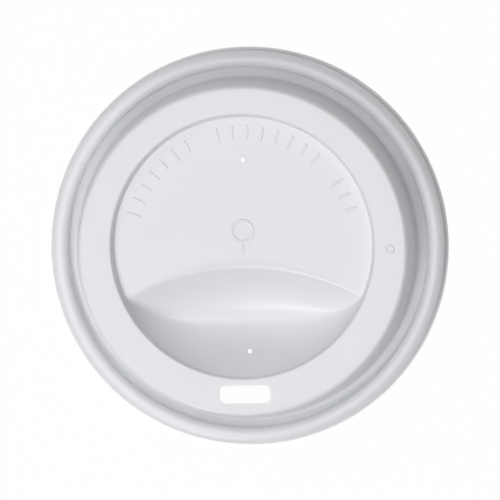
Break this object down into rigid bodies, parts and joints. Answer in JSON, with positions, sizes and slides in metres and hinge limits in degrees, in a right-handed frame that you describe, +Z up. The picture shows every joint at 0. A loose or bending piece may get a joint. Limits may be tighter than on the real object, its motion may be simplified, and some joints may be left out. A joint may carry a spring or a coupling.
{
  "type": "coffee cup lid",
  "caption": "Round sip lid for a takeaway hot drink cup, formed in one piece with a snap skirt, a raised dome, a sunk disc with a lip scoop, a sip hole and vents.",
  "frame": {"origin": "middle of the base, in the plane of the flange's underside", "axes": "+Z up along the lid's axis, -Y towards the sip hole at the front, +X to the right seen from above with the sip hole nearest"},
  "size_m": [0.093, 0.093, 0.0183],
  "materials": {
    "white_plastic": "satin white formed plastic sheet"
  },
  "bodies": {
    "root": {"lid": "white_plastic"}
  },
  "joints": []
}
